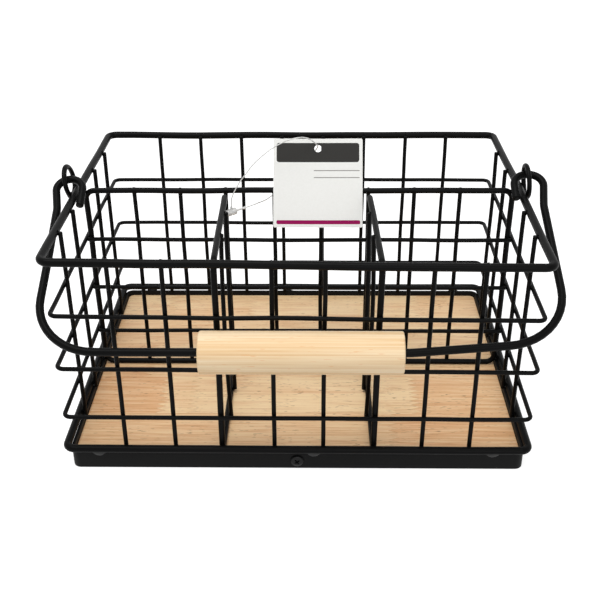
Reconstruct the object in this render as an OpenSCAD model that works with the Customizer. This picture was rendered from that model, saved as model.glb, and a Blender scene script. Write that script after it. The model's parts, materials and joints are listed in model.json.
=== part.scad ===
// Wire cutlery caddy: a welded wire basket on a wooden base, split into one long and three
// short compartments, with a swinging bail handle. Millimetres. The origin is the middle of
// the base's underside, +X is the right-hand side, +Y the back and +Z up.

/* [Basket] */
// Length of the rim, wire centre to wire centre
rim_length = 270; // [240:1:320]
// Depth of the rim, wire centre to wire centre
rim_depth = 200; // [180:1:240]
// Height of the rim above the bottom ring, wire centre to wire centre
rim_rise = 121.2; // [112:0.1:150]
// Height of the upper ring above the bottom ring
upper_rise = 88.2; // [84:0.1:100]
// Height of the middle ring above the bottom ring
middle_rise = 54.4; // [44:0.1:58]
// Height of the lower ring above the bottom ring
lower_rise = 21.8; // [12:0.1:32]
// Bend radius at the rim's corners, at the wire's centre
rim_bend = 5.5; // [4:0.5:12]
// Bend radius at the thin rings' corners
ring_bend = 4; // [3:0.5:10]
// Bend radius at the bottom ring's corners
bottom_bend = 5; // [4:0.5:12]

/* [Wires] */
// Diameter of the wire of the rim and the bottom ring
heavy_wire = 4.5; // [3.5:0.1:6]
// Diameter of the wire of the divider frames
frame_wire = 3.35; // [2.6:0.05:4]
// Diameter of the wire of the thin rings, the uprights and the rails
grid_wire = 2.4; // [1.6:0.1:3]
// Distance between uprights on the front, the back and the long divider
upright_pitch = 28.7; // [24:0.1:33]
// Distance between uprights on the two sides
side_pitch = 31.7; // [27:0.1:34]
// How far the uprights' tips stand above the wire's centre that they are welded to
upright_tip = 0.6; // [0:0.1:2]

/* [Dividers] */
// How far the long divider lies behind the middle of the basket
divider_back = 1.2; // [-5:0.1:5]
// How far the row of the long divider's uprights lies to the left of the middle
long_row_left = 1.7; // [-4:0.1:4]
// Distance from the middle of the basket to the left cross divider
left_cross_out = 43.8; // [41.5:0.1:47]
// Distance from the middle of the basket to the right cross divider
right_cross_out = 44.6; // [41.5:0.1:47]
// How far the dividers' top bars lie below the rim
divider_drop = 0.9; // [0:0.1:12]
// Bend radius at the divider frames' corners
frame_bend = 5.5; // [4:0.5:10]

/* [Eyelets] */
// Diameter of the eyelets' wire
eyelet_wire = 2.8; // [2:0.1:4]
// Radius of the eyelets, at the wire's centre
eyelet_radius = 9.5; // [8:0.1:13]
// Height of the eyelets' centres above the rim's wire centre
eyelet_rise = 5.5; // [3:0.1:8]

/* [Bail] */
// Diameter of the bail's wire
bail_wire_d = 4.5; // [3.5:0.1:5.5]
// Distance between a hook's inner leg and the bail's arm, wire centre to wire centre
hook_span = 17; // [15:0.1:22]
// Length of a hook's straight inner leg
hook_leg = 12; // [8:0.5:20]
// Bend radius between the bail's arms and its straight run
shoulder_bend = 34; // [20:0.5:45]

/* [Grip] */
// Length of the wooden grip
grip_length = 110; // [80:1:130]
// Diameter of the wooden grip
grip_d = 23.5; // [18:0.5:27]
// Width of the grip's end chamfers
grip_chamfer = 1; // [0.4:0.1:2]
// How far the grip has slid to the right along the bail
grip_right = 2.9; // [-12:0.1:12]
// How far the grip rests above the middle between the middle and the upper ring
grip_over = 1.5; // [-3:0.1:3]

/* [Base] */
// Height of the steel band
band_height = 12.65; // [11.5:0.05:24]
// Thickness of the steel band
band_wall = 1; // [0.6:0.05:1.1]
// Bend radius at the band's corners, outside
band_bend = 5; // [4:0.5:10]
// Slit between the band's top edge and the bottom ring
band_slit = 0.5; // [0.2:0.1:3]
// Thickness of the wooden base board
board_thickness = 10; // [9:0.1:11]
// Diameter of the base screws' heads
screw_head_d = 7.3; // [5:0.1:8]
// Height of the base screws' heads
screw_head_h = 1.9; // [1.4:0.1:2.4]
// Diameter of the base screws' shanks
screw_shank_d = 3; // [2:0.1:4]
// Length of the base screws' shanks
screw_shank_l = 16; // [8:0.5:25]
// Height of the base screws above the base's underside
screw_rise = 5.9; // [4.5:0.1:6.5]
// Radius of the tack welds between the bottom ring and the band
tack_radius = 1.6; // [1.3:0.1:2]

/* [Tag] */
// Width of the card swing tag
tag_width = 54.5; // [40:0.5:58]
// Height of the card swing tag
tag_height = 54.5; // [45:0.5:60]
// Thickness of the card
tag_thickness = 0.4; // [0.3:0.05:0.8]
// Radius of the card's corners
tag_corner = 1; // [0.5:0.1:3]
// Diameter of the card's hole
tag_hole_d = 4.5; // [3:0.1:5]
// Distance from the card's top edge to the middle of the hole
tag_hole_drop = 6; // [4:0.1:8]
// How far the card leans back
tag_lean = 31; // [15:1:40]
// Diameter of the nylon loop
loop_d = 0.7; // [0.5:0.05:1]

/* [Clearances] */
// Gap left between wires that are welded together
weld_film = 0.05; // [0:0.01:0.1]
// Gap between pieces that rest on each other
rest_gap = 0.3; // [0.1:0.05:0.6]
// Gap between the hook and the rim beside it
hook_clear = 0.5; // [0.3:0.05:1]
// Gap between the rim and the crowns of the hooks, which ride half-way up their eyelets
hook_lift = 4; // [0.8:0.1:5]
// Radial running clearance of the grip on the bail
grip_clear = 0.05; // [0.01:0.01:0.1]
// Radial clearance of the screws in their holes
screw_clear = 0.05; // [0.02:0.01:0.2]
// Gap between the steel band and the board inside it
board_clear = 0.3; // [0.1:0.05:0.6]

/* [Hidden] */
$fn = 32;

steel_black = [0.09, 0.09, 0.09];
base_wood = [0.86, 0.68, 0.48];
grip_wood = [0.95, 0.84, 0.62];
card_white = [0.96, 0.96, 0.95];
nylon_clear = [0.88, 0.88, 0.88];

// Heights of the wires' centres above the base's underside
bottom_z = band_height + band_slit + heavy_wire / 2;
lower_z = bottom_z + lower_rise;
middle_z = bottom_z + middle_rise;
upper_z = bottom_z + upper_rise;
rim_z = bottom_z + rim_rise;
rail_heights = [upper_z, middle_z, lower_z];

// All the rings share their inner faces, and everything inside is welded to these
inner_x = rim_length / 2 - heavy_wire / 2;
inner_y = rim_depth / 2 - heavy_wire / 2;
upright_x = inner_x - weld_film - grid_wire / 2;
upright_y = inner_y - weld_film - grid_wire / 2;
upright_foot = band_height + weld_film;

// The uprights' places, in pitches from the middle. The cross dividers' front legs stand
// where the front's row has gaps.
full_row = [-3.5, -2.5, -1.5, -0.5, 0.5, 1.5, 2.5, 3.5];
front_row = [-3.5, -2.5, -0.5, 0.5, 2.5, 3.5];
side_row = [-2, -1, 1, 2];

// Divider frames, as the centres of their wires
bar_z = rim_z - divider_drop;
sill_z = board_thickness + weld_film + frame_wire / 2;
long_x = inner_x - weld_film - frame_wire / 2;
rail_y = divider_back - frame_wire / 2 - weld_film - grid_wire / 2;
long_upright_y = divider_back + frame_wire / 2 + weld_film + grid_wire / 2;
cross_front = -(inner_y - weld_film - frame_wire / 2);
cross_back = rail_y - grid_wire / 2 - weld_film - frame_wire / 2;
cross_upright_in = frame_wire / 2 + weld_film + grid_wire / 2;

// The bail hangs from the crowns of its hooks, and rests where its grip meets the uprights
// between the middle and the upper ring
pivot_z = rim_z + heavy_wire / 2 + hook_lift + bail_wire_d / 2;
hook_bend = hook_span / 2;
hook_x = inner_x - hook_clear - bail_wire_d / 2;
arm_x = hook_x + hook_span;
grip_y = -(inner_y + rest_gap + grip_d / 2);
grip_z = (middle_z + upper_z) / 2 + grip_over;
bail_reach = norm([grip_y, pivot_z - grip_z]);
bail_angle = atan2(-grip_y, pivot_z - grip_z);

eyelet_x = rim_length / 2 + heavy_wire / 2 + weld_film + eyelet_wire / 2;

// Base
band_x = inner_x - rest_gap - weld_film;
band_y = inner_y - rest_gap - weld_film;
board_x = band_x - band_wall - board_clear;
board_y = band_y - band_wall - board_clear;
tack_z = band_height - tack_radius / 6;
tack_out = 1;
tack_front = [-116, 10, 114];
tack_beside = 3.4;
tack_side = [for (side = [-1, 1]) side * (side_row[3] * side_pitch - tack_beside)];
cut_past = 1;
recess_w = 0.8;
recess_l = 3.6;
recess_depth = 1.1;

// The tag leans against the long divider's top bar. Its places are measured from the middle
// of that bar.
tag_at = [0, divider_back, bar_z];
tag_x = 12;
tag_foot = -22.6;
tag_back = frame_wire / 2 + rest_gap;

// The lock of the loop: a bead, the tail that sticks out of it, and the barb at its end
bead_d = 4.2;
bead_l = 6.4;
neck_d = 1.4;
neck_l = 1.3;
tail_d = 1.2;
tail_l = 4.4;
barb_d = 1.9;
barb_l = 2;

// The loop's route from the bead's neck up and through the card's hole, then down behind the
// long divider and round one of its uprights to the barb
loop_points = [
    [-40.7, -9.3, -4.8], [-40.5, -8.9, -2], [-39.4, -8.1, 1.1], [-37.5, -7.2, 4.6],
    [-34.8, -6.3, 8.9], [-31.6, -5.2, 12.8], [-27.6, -3.8, 17.8], [-21.7, -2.2, 23.1],
    [-15.6, -0.2, 27.3], [-9.5, 1.8, 30.2], [-3.7, 3.8, 31.8], [1.2, 5.8, 32],
    [5.2, 7.7, 31], [8.4, 9.6, 28.6], [10.9, 11.2, 25.9], [11.9, 13.2, 23.8],
    [10.4, 14.4, 20.6], [6, 13.6, 15.4], [0, 11.8, 9], [-6.4, 9.6, 3],
    [-12.3, 7.6, -2.8], [-16.6, 6.4, -6], [-20.4, 3.9, -7.8], [-24.7, 0.8, -8.5],
    [-28.7, -2, -9], [-32.6, -4.4, -9.4]
];
loop_sides = 8;
loop_steps = 3;

function unit(v) = v / norm(v);
last_point = len(loop_points) - 1;
lock_axis = unit(loop_points[last_point - 1] - loop_points[last_point]);
lock_at = loop_points[last_point] - lock_axis * (bead_l / 2 + tail_l + barb_l);
neck_top = lock_at + [0, 0, bead_d / 2 + neck_l];
loop_route = concat([neck_top], loop_points);

// A smooth curve through the route's points, loop_steps rings to a stretch
function between(a, b, c, d, t) =
    0.5 * (2 * b + (c - a) * t + (2 * a - 5 * b + 4 * c - d) * t * t
    + (3 * b - a - 3 * c + d) * t * t * t);
function smooth(p, steps) = concat(
    [for (i = [0 : len(p) - 2], k = [0 : steps - 1])
        between(p[max(i - 1, 0)], p[i], p[i + 1], p[min(i + 2, len(p) - 1)], k / steps)],
    [p[len(p) - 1]]);
// The curve's directions, upright where it leaves the neck and along the tail at the barb
function directions(p) = [for (i = [0 : len(p) - 1])
    i == 0 ? [0, 0, 1]
    : i == len(p) - 1 ? -lock_axis
    : unit(p[i + 1] - p[i - 1])];
// Side vectors that turn with the curve and don't twist round it
function carried(v, t) = unit(v - (v * t) * t);
function sides(t) = [for (i = 0, v = carried([1, 0, 0], t[0]); i < len(t);
    i = i + 1, v = i < len(t) ? carried(v, t[i]) : v) v];

module wire_x(x0, x1, y, z, d) {
    translate([x0, y, z]) rotate([0, 90, 0]) cylinder(h = x1 - x0, d = d);
}

module wire_y(y0, y1, x, z, d) {
    translate([x, y1, z]) rotate([90, 0, 0]) cylinder(h = y1 - y0, d = d);
}

module wire_z(z0, z1, x, y, d) {
    translate([x, y, z0]) cylinder(h = z1 - z0, d = d);
}

// A quarter bend in the XY plane, from the +X to the +Y direction round the origin
module bend(radius, d) {
    rotate_extrude(angle = 90) translate([radius, 0]) circle(d = d);
}

// A closed rectangle of round wire in the XY plane, with its sizes at the wire's centre
module wire_loop(half_x, half_y, radius, d) {
    flat_x = half_x - radius;
    flat_y = half_y - radius;
    for (side = [-1, 1]) {
        wire_x(-flat_x, flat_x, side * half_y, 0, d);
        wire_y(-flat_y, flat_y, side * half_x, 0, d);
    }
    for (turn = [0, 1, 2, 3]) {
        corner_x = (turn == 0 || turn == 3 ? 1 : -1) * flat_x;
        corner_y = (turn < 2 ? 1 : -1) * flat_y;
        translate([corner_x, corner_y, 0]) rotate([0, 0, turn * 90]) bend(radius, d);
    }
}

module ring(z, d, radius) {
    color(steel_black) translate([0, 0, z])
        wire_loop(inner_x + d / 2, inner_y + d / 2, radius, d);
}

module top_rim() {
    ring(rim_z, heavy_wire, rim_bend);
}

module upper_ring() {
    ring(upper_z, grid_wire, ring_bend);
}

module middle_ring() {
    ring(middle_z, grid_wire, ring_bend);
}

module lower_ring() {
    ring(lower_z, grid_wire, ring_bend);
}

module bottom_ring() {
    ring(bottom_z, heavy_wire, bottom_bend);
}

// Uprights along X at the given places, from their feet on the band to their tips
module upright_row(places, y) {
    color(steel_black) for (place = places)
        wire_z(upright_foot, rim_z + upright_tip, place * upright_pitch, y, grid_wire);
}

module front_uprights() {
    upright_row(front_row, -upright_y);
}

module back_uprights() {
    upright_row(full_row, upright_y);
}

module side_uprights(x) {
    color(steel_black) for (place = side_row)
        wire_z(upright_foot, rim_z + upright_tip, x, place * side_pitch, grid_wire);
}

module left_uprights() {
    side_uprights(-upright_x);
}

module right_uprights() {
    side_uprights(upright_x);
}

// A closed rectangle of wire that stands on the board, in the XZ plane
module divider_frame(half_length) {
    height = bar_z - sill_z;
    color(steel_black) translate([0, 0, sill_z + height / 2]) rotate([90, 0, 0])
        wire_loop(half_length, height / 2, frame_bend, frame_wire);
}

module long_divider_frame() {
    translate([0, divider_back, 0]) divider_frame(long_x);
}

module long_divider_uprights() {
    foot = sill_z - upright_tip;
    color(steel_black) for (place = full_row)
        wire_z(foot, bar_z + upright_tip, place * upright_pitch - long_row_left,
               long_upright_y, grid_wire);
}

module long_divider_rails() {
    color(steel_black) for (height = rail_heights)
        wire_x(-inner_x, inner_x, rail_y, height, grid_wire);
}

// x is the divider's place from left to right, at its frame's centre
module cross_frame(x) {
    translate([x, (cross_front + cross_back) / 2, 0]) rotate([0, 0, 90])
        divider_frame((cross_back - cross_front) / 2);
}

// The uprights of the cross divider at x, on the side of its frame that faces the middle
module cross_uprights(x) {
    foot = sill_z - upright_tip;
    depth = cross_back - cross_front;
    color(steel_black) for (third = [1, 2])
        wire_z(foot, bar_z + upright_tip, x - sign(x) * cross_upright_in,
               cross_front + third * depth / 3, grid_wire);
}

module left_cross_frame() {
    cross_frame(-left_cross_out);
}

module right_cross_frame() {
    cross_frame(right_cross_out);
}

module left_cross_uprights() {
    cross_uprights(-left_cross_out);
}

module right_cross_uprights() {
    cross_uprights(right_cross_out);
}

// A wire ring on end, welded to the outside of the rim, that a hook of the bail goes through
module eyelet(side) {
    color(steel_black) translate([side * eyelet_x, 0, rim_z + eyelet_rise])
        rotate([0, 90, 0]) rotate_extrude() translate([eyelet_radius, 0]) circle(d = eyelet_wire);
}

module left_eyelet() {
    eyelet(-1);
}

module right_eyelet() {
    eyelet(1);
}

// Turns what hangs straight down from the pivot to the bail's rest against the front
module at_rest() {
    translate([0, 0, pivot_z]) rotate([-bail_angle, 0, 0]) children();
}

// Half of the bail hanging straight down, with the hook's crown at the pivot's height
module bail_half() {
    crown_x = hook_x + hook_bend;
    run_x = arm_x - shoulder_bend;
    wire_x(0, run_x, 0, -bail_reach, bail_wire_d);
    translate([run_x, 0, shoulder_bend - bail_reach]) rotate([90, 0, 0]) rotate([0, 0, -90])
        bend(shoulder_bend, bail_wire_d);
    wire_z(shoulder_bend - bail_reach, -hook_bend, arm_x, 0, bail_wire_d);
    for (turn = [0, 90])
        translate([crown_x, 0, -hook_bend]) rotate([90, 0, 0]) rotate([0, 0, turn])
            bend(hook_bend, bail_wire_d);
    wire_z(-hook_bend - hook_leg, -hook_bend, hook_x, 0, bail_wire_d);
}

module bail_wire() {
    color(steel_black) at_rest() {
        bail_half();
        mirror([1, 0, 0]) bail_half();
    }
}

// The grip is turned wood, bored through for the bail
module grip() {
    half = grip_length / 2;
    radius = grip_d / 2;
    bore = bail_wire_d / 2 + grip_clear;
    color(grip_wood) at_rest() translate([grip_right, 0, -bail_reach]) rotate([0, 90, 0])
        rotate_extrude() polygon([
            [bore, -half], [radius - grip_chamfer, -half], [radius, grip_chamfer - half],
            [radius, half - grip_chamfer], [radius - grip_chamfer, half], [bore, half]]);
}

// A rectangle with round corners, in the XY plane
module rounded(half_x, half_y, radius) {
    square([2 * half_x, 2 * (half_y - radius)], center = true);
    square([2 * (half_x - radius), 2 * half_y], center = true);
    for (x = [-1, 1], y = [-1, 1])
        translate([x * (half_x - radius), y * (half_y - radius)]) circle(r = radius);
}

// Puts one copy at the middle of each side of the band, pointing outwards along +X
module at_band_sides() {
    for (side = [0, 1]) {
        rotate([0, 0, side * 180]) translate([band_x, 0, screw_rise]) children();
        rotate([0, 0, 90 + side * 180]) translate([band_y, 0, screw_rise]) children();
    }
}

module screw_hole() {
    translate([-screw_shank_l - screw_clear, 0, 0]) rotate([0, 90, 0])
        cylinder(h = screw_shank_l + 2 * screw_clear, r = screw_shank_d / 2 + screw_clear);
}

module base_band() {
    color(steel_black) difference() {
        linear_extrude(band_height) rounded(band_x, band_y, band_bend);
        translate([0, 0, -cut_past]) linear_extrude(band_height + 2 * cut_past)
            rounded(band_x - band_wall, band_y - band_wall, band_bend - band_wall);
        at_band_sides() screw_hole();
    }
}

module base_board() {
    color(base_wood) difference() {
        linear_extrude(board_thickness)
            rounded(board_x, board_y, band_bend - band_wall - board_clear);
        at_band_sides() screw_hole();
    }
}

// A pan-head screw along +X, its head's underside at the origin, with a cross recess
module screw() {
    edge = screw_head_h / 2;
    difference() {
        rotate([0, 90, 0]) {
            cylinder(h = edge, d = screw_head_d);
            translate([0, 0, edge])
                cylinder(h = screw_head_h - edge, d1 = screw_head_d, d2 = 0.6 * screw_head_d);
            translate([0, 0, -screw_shank_l]) cylinder(h = screw_shank_l, d = screw_shank_d);
        }
        for (turn = [0, 90])
            translate([screw_head_h, 0, 0]) rotate([turn, 0, 0])
                cube([2 * recess_depth, recess_l, recess_w], center = true);
    }
}

module base_screws() {
    color(steel_black) at_band_sides() screw();
}

// A lump of weld in the corner under the bottom ring, against the band's outer face
module tack(along, out, reach) {
    difference() {
        translate([along, -out - tack_out, tack_z]) sphere(r = tack_radius);
        translate([along - reach, -out, tack_z - reach]) cube(2 * reach);
        wire_x(along - reach, along + reach, -out - (rim_depth / 2 - band_y), bottom_z,
               heavy_wire + weld_film);
    }
}

module tack_welds() {
    reach = 2 * tack_radius;
    color(steel_black) {
        for (place = tack_front, turn = [0, 180])
            rotate([0, 0, turn]) tack(place, band_y, reach);
        for (place = tack_side, turn = [90, 270])
            rotate([0, 0, turn]) tack(place, band_x, reach);
    }
}

// Puts a card's own XZ plane against the top bar, its back face at y = 0
module at_tag() {
    translate(tag_at) rotate([-tag_lean, 0, 0]) translate([tag_x, -tag_back, tag_foot]) children();
}

module swing_tag() {
    half_x = tag_width / 2;
    half_z = tag_height / 2;
    color(card_white) at_tag() difference() {
        rotate([90, 0, 0]) linear_extrude(tag_thickness)
            translate([0, half_z]) rounded(half_x, half_z, tag_corner);
        translate([0, tag_thickness, tag_height - tag_hole_drop]) rotate([90, 0, 0])
            cylinder(h = 3 * tag_thickness, d = tag_hole_d);
    }
}

module tag_loop() {
    path = smooth(loop_route, loop_steps);
    tangents = directions(path);
    normals = sides(tangents);
    n = len(path);
    s = loop_sides;
    points = [for (i = [0 : n - 1], k = [0 : s - 1])
        path[i] + loop_d / 2 * (cos(k * 360 / s) * normals[i]
        + sin(k * 360 / s) * cross(tangents[i], normals[i]))];
    walls = [for (i = [0 : n - 2], k = [0 : s - 1], half = [0, 1])
        let (a = i * s + k, b = i * s + (k + 1) % s)
        half == 0 ? [a, a + s, b] : [b, a + s, b + s]];
    caps = [for (k = [1 : s - 2], end = [0, 1])
        end == 0 ? [0, k, k + 1] : [(n - 1) * s, (n - 1) * s + k + 1, (n - 1) * s + k]];
    color(nylon_clear) translate(tag_at) polyhedron(points, concat(walls, caps));
}

module tag_lock() {
    turn = atan2(lock_axis[1], lock_axis[0]);
    rise = asin(lock_axis[2]);
    color(nylon_clear) translate(tag_at + lock_at) {
        rotate([0, 90 - rise, turn]) {
            translate([0, 0, -bead_l / 2]) cylinder(h = bead_l, d = bead_d);
            translate([0, 0, bead_l / 2]) cylinder(h = tail_l, d = tail_d);
            translate([0, 0, bead_l / 2 + tail_l]) cylinder(h = barb_l, d1 = tail_d, d2 = barb_d);
        }
        cylinder(h = bead_d / 2 + neck_l, d = neck_d);
    }
}

top_rim();
upper_ring();
middle_ring();
lower_ring();
bottom_ring();
front_uprights();
back_uprights();
left_uprights();
right_uprights();
long_divider_frame();
long_divider_uprights();
long_divider_rails();
left_cross_frame();
right_cross_frame();
left_cross_uprights();
right_cross_uprights();
left_eyelet();
right_eyelet();
bail_wire();
grip();
base_band();
base_board();
base_screws();
tack_welds();
swing_tag();
tag_loop();
tag_lock();
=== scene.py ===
# The looks of a wire cutlery caddy: a welded wire basket on a wooden base, with a bail handle
# that swings. Everything is in metres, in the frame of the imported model. The sections follow the
# caddy as it is put together, and each holds a piece's sizes, its mesh and its finish.
import json
import math
import random

import bmesh
import bpy
from mathutils import Matrix, Vector, noise


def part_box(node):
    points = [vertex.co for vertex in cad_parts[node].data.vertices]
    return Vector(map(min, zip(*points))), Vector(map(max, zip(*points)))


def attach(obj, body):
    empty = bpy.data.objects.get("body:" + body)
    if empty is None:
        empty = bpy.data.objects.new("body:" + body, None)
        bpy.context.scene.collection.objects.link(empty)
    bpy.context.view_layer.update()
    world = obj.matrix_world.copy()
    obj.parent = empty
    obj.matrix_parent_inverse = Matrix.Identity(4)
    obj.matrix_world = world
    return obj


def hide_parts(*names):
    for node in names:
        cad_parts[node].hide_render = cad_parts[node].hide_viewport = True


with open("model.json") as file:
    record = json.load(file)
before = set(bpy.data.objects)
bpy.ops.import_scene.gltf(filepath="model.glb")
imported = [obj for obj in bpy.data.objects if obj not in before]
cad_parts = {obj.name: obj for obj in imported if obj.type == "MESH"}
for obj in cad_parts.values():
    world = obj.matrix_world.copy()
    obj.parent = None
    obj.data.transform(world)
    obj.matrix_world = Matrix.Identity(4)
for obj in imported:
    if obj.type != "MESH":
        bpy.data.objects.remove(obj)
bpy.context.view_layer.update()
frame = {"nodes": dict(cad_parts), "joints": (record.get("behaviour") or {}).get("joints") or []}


# ---- Viewpoint -------------------------------------------------------------------------------
# The picture is taken from in front and above through a fairly long lens. The camera looks 29
# degrees down and is turned and rolled by less than a degree.
PHOTO_PX = 600
FOCAL_PX = 955.8
SENSOR_MM = 36
CAMERA_AT = Vector((0.00957, -0.54425, 0.36224))
# How far the camera looks down, is turned to the side and is rolled, in radians
PITCH = 0.5076
YAW = -0.0164
ROLL = -0.0057

ahead = Vector((math.sin(YAW) * math.cos(PITCH), math.cos(YAW) * math.cos(PITCH), -math.sin(PITCH)))
right = Vector((math.cos(YAW), -math.sin(YAW), 0))
level = Matrix((right, right.cross(ahead), -ahead)).transposed()
lens = bpy.data.cameras.new("camera")
lens.sensor_width = SENSOR_MM
lens.lens = SENSOR_MM * FOCAL_PX / PHOTO_PX
camera = bpy.data.objects.new("camera", lens)
rolled = level @ Matrix.Rotation(ROLL, 3, "Z")
camera.matrix_world = Matrix.Translation(CAMERA_AT) @ rolled.to_4x4()
bpy.context.scene.collection.objects.link(camera)
bpy.context.scene.camera = camera


# ---- Base board ------------------------------------------------------------------------------
# A slab of pale hardwood staves, glued edge to edge, each of short blocks finger-jointed end to
# end. The grain runs along the caddy. It is sanded, thinly lacquered and screwed into the band.
class Amount:
    """One output of a node. Arithmetic on it adds Math nodes, so a finish reads as a formula."""

    def __init__(self, mixer, socket):
        self.mixer = mixer
        self.socket = socket

    def maths(self, operation, *terms):
        return self.mixer.node("ShaderNodeMath", {"operation": operation}, dict(enumerate(terms)))

    def __add__(self, other):
        return self.maths("ADD", self, other)

    def __sub__(self, other):
        return self.maths("SUBTRACT", self, other)

    def __rsub__(self, other):
        return self.maths("SUBTRACT", other, self)

    def __mul__(self, other):
        return self.maths("MULTIPLY", self, other)

    def __gt__(self, other):
        return self.maths("GREATER_THAN", self, other)

    def __lt__(self, other):
        return self.maths("LESS_THAN", self, other)

    def __abs__(self):
        return self.maths("ABSOLUTE", self)

    __radd__ = __add__
    __rmul__ = __mul__

    def between(self, low, high):
        """0 below low, 1 above high, and a smooth step from one to the other."""
        settings = {"interpolation_type": "SMOOTHSTEP"}
        return self.mixer.node("ShaderNodeMapRange", settings, {0: self, 1: low, 2: high})


class Mixer:
    """Adds nodes to a tree and joins them up."""

    def __init__(self, tree):
        self.tree = tree

    def feed(self, socket, value):
        if isinstance(value, Amount):
            self.tree.links.new(value.socket, socket)
        else:
            socket.default_value = value

    def node(self, kind, settings, sockets, output=0):
        """Adds a node: its settings first, then the values or links of its sockets."""
        made = self.tree.nodes.new(kind)
        for name, value in settings.items():
            setattr(made, name, value)
        for name, value in sockets.items():
            self.feed(made.inputs[name], value)
        return Amount(self, made.outputs[output])

    def mix(self, share, colour, other):
        """colour where share is 0, other where it is 1."""
        return self.node("ShaderNodeMix", {"data_type": "RGBA"}, {0: share, 6: colour, 7: other}, 2)


class Finish(Mixer):
    """A material as it is mixed: its nodes and the shader that they feed."""

    def __init__(self, name, **fixed):
        self.material = bpy.data.materials.new(name)
        self.material.use_nodes = True
        super().__init__(self.material.node_tree)
        self.shader = self.tree.nodes["Principled BSDF"]
        self.set(**fixed)

    def set(self, **sockets):
        """Feeds the shader's sockets, named with _ for a space."""
        for name, value in sockets.items():
            self.feed(self.shader.inputs[name.replace("_", " ")], value)

    def place(self):
        return self.node("ShaderNodeTexCoord", {}, {}, "Object")

    def axes(self, vector):
        return [self.node("ShaderNodeSeparateXYZ", {}, {0: vector}, axis) for axis in range(3)]

    def stretched(self, vector, scales):
        return self.node("ShaderNodeVectorMath", {"operation": "MULTIPLY"}, {0: vector, 1: scales})

    def moved(self, vector, offset):
        return self.node("ShaderNodeVectorMath", {"operation": "ADD"}, {0: vector, 1: offset})

    def noise(self, vector, detail=2.0, roughness=0.5):
        sockets = {"Vector": vector, "Scale": 1.0, "Detail": detail, "Roughness": roughness}
        return self.node("ShaderNodeTexNoise", {}, sockets)

    def bump(self, height, strength, distance):
        sockets = {"Height": height, "Strength": strength, "Distance": distance}
        return self.node("ShaderNodeBump", {}, sockets)


def colour(red, green, blue):
    """A colour as a picture has it, 0 to 255, in the linear light that a shader takes."""
    def linear(part):
        part = part / 255
        return part / 12.92 if part <= 0.04045 else ((part + 0.055) / 1.055) ** 2.4

    return (linear(red), linear(green), linear(blue), 1)


def dress(node, finish):
    """Gives a CAD node, whose shape is right as it is, a better finish."""
    for slot in frame["nodes"][node].material_slots:
        slot.material = finish.material


# The staves from front to back: where each ends, the shade of its first block, and then each
# finger joint's place along it with the shade of the next block
STAVES = [
    (-0.057, 0.62, [(-0.044, 0.48), (0.058, 0.85)]),
    (-0.016, 0.98, [(-0.0865, 0.22), (-0.067, 0.12), (0.074, 0.70)]),
    (0.025, 0.74, [(-0.101, 0.50), (0.020, 0.30), (0.093, 0.42)]),
    (0.066, 0.58, [(-0.058, 0.38), (0.047, 0.26)]),
    (0.100, 0.20, [(-0.096, 0.34), (-0.036, 0.16), (0.086, 0.46)]),
]
FINGER_PITCH = 0.0045
FINGER_LENGTH = 0.006
# Half the width of the glue line at a finger joint and between two staves, and how dark the second
# is beside the first
FINGER_GLUE = 0.00035
STAVE_GLUE = FINGER_GLUE / 3
STAVE_GLUE_SHADE = 0.6

board = Finish("lacquered_blocks", Roughness=0.45, Coat_Weight=0.12, Coat_Roughness=0.3)
place = board.place()
x, y, _ = board.axes(place)
zigzag = board.node("ShaderNodeMath", {"operation": "PINGPONG"}, {0: y, 1: FINGER_PITCH / 2})
jointed_x = x + zigzag * (2 * FINGER_LENGTH / FINGER_PITCH) - FINGER_LENGTH / 2
shade = None
glue = None
front_edge = None
for back_edge, block_shade, joints in STAVES:
    stave_shade = block_shade
    stave_glue = 0.0
    for joint_x, next_shade in joints:
        past_joint = jointed_x > joint_x
        stave_shade = stave_shade + past_joint * (next_shade - block_shade)
        stave_glue = stave_glue + (abs(jointed_x - joint_x) < FINGER_GLUE)
        block_shade = next_shade
    if shade is None:
        shade = stave_shade
        glue = stave_glue
    else:
        in_stave = y > front_edge
        shade = shade + in_stave * (stave_shade - shade)
        glue = glue + in_stave * (stave_glue - glue)
        glue = glue + STAVE_GLUE_SHADE * (abs(y - front_edge) < STAVE_GLUE)
    front_edge = back_edge
# Here and in the other finishes, a noise's scales are counts a metre along x, y and z
own_grain = board.node("ShaderNodeTexWhiteNoise", {"noise_dimensions": "1D"}, {"W": shade}, "Color")
grain_place = board.moved(place, own_grain)
figure = board.noise(board.stretched(grain_place, (16, 95, 95)), 3.0)
streaks = board.noise(board.stretched(grain_place, (28, 700, 700)), 3.0, 0.6)
pores = board.noise(board.stretched(grain_place, (210, 1300, 1300)), 1.0).between(0.64, 0.72)
pore_patches = board.noise(board.stretched(grain_place, (24, 60, 60)), 2.0).between(0.38, 0.62)
pores = pores * (0.25 + 0.75 * pore_patches)
wood = board.mix(shade, colour(248, 216, 168), colour(228, 170, 116))
wood = board.mix(0.60 * figure.between(0.42, 0.75), wood, colour(224, 166, 114))
wood = board.mix(0.55 * streaks.between(0.35, 0.75), wood, colour(255, 228, 184))
wood = board.mix(0.52 * (1 - streaks).between(0.48, 0.80), wood, colour(198, 136, 84))
wood = board.mix(0.70 * pores, wood, colour(134, 80, 42))
wood = board.mix(0.30 * glue, wood, colour(150, 104, 66))
board.set(Base_Color=wood, Roughness=0.42 + 0.2 * pores)
board.set(Normal=board.bump(0.4 * streaks - pores - 0.5 * glue, 0.25, 0.0002))
dress("base_board", board)


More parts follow.
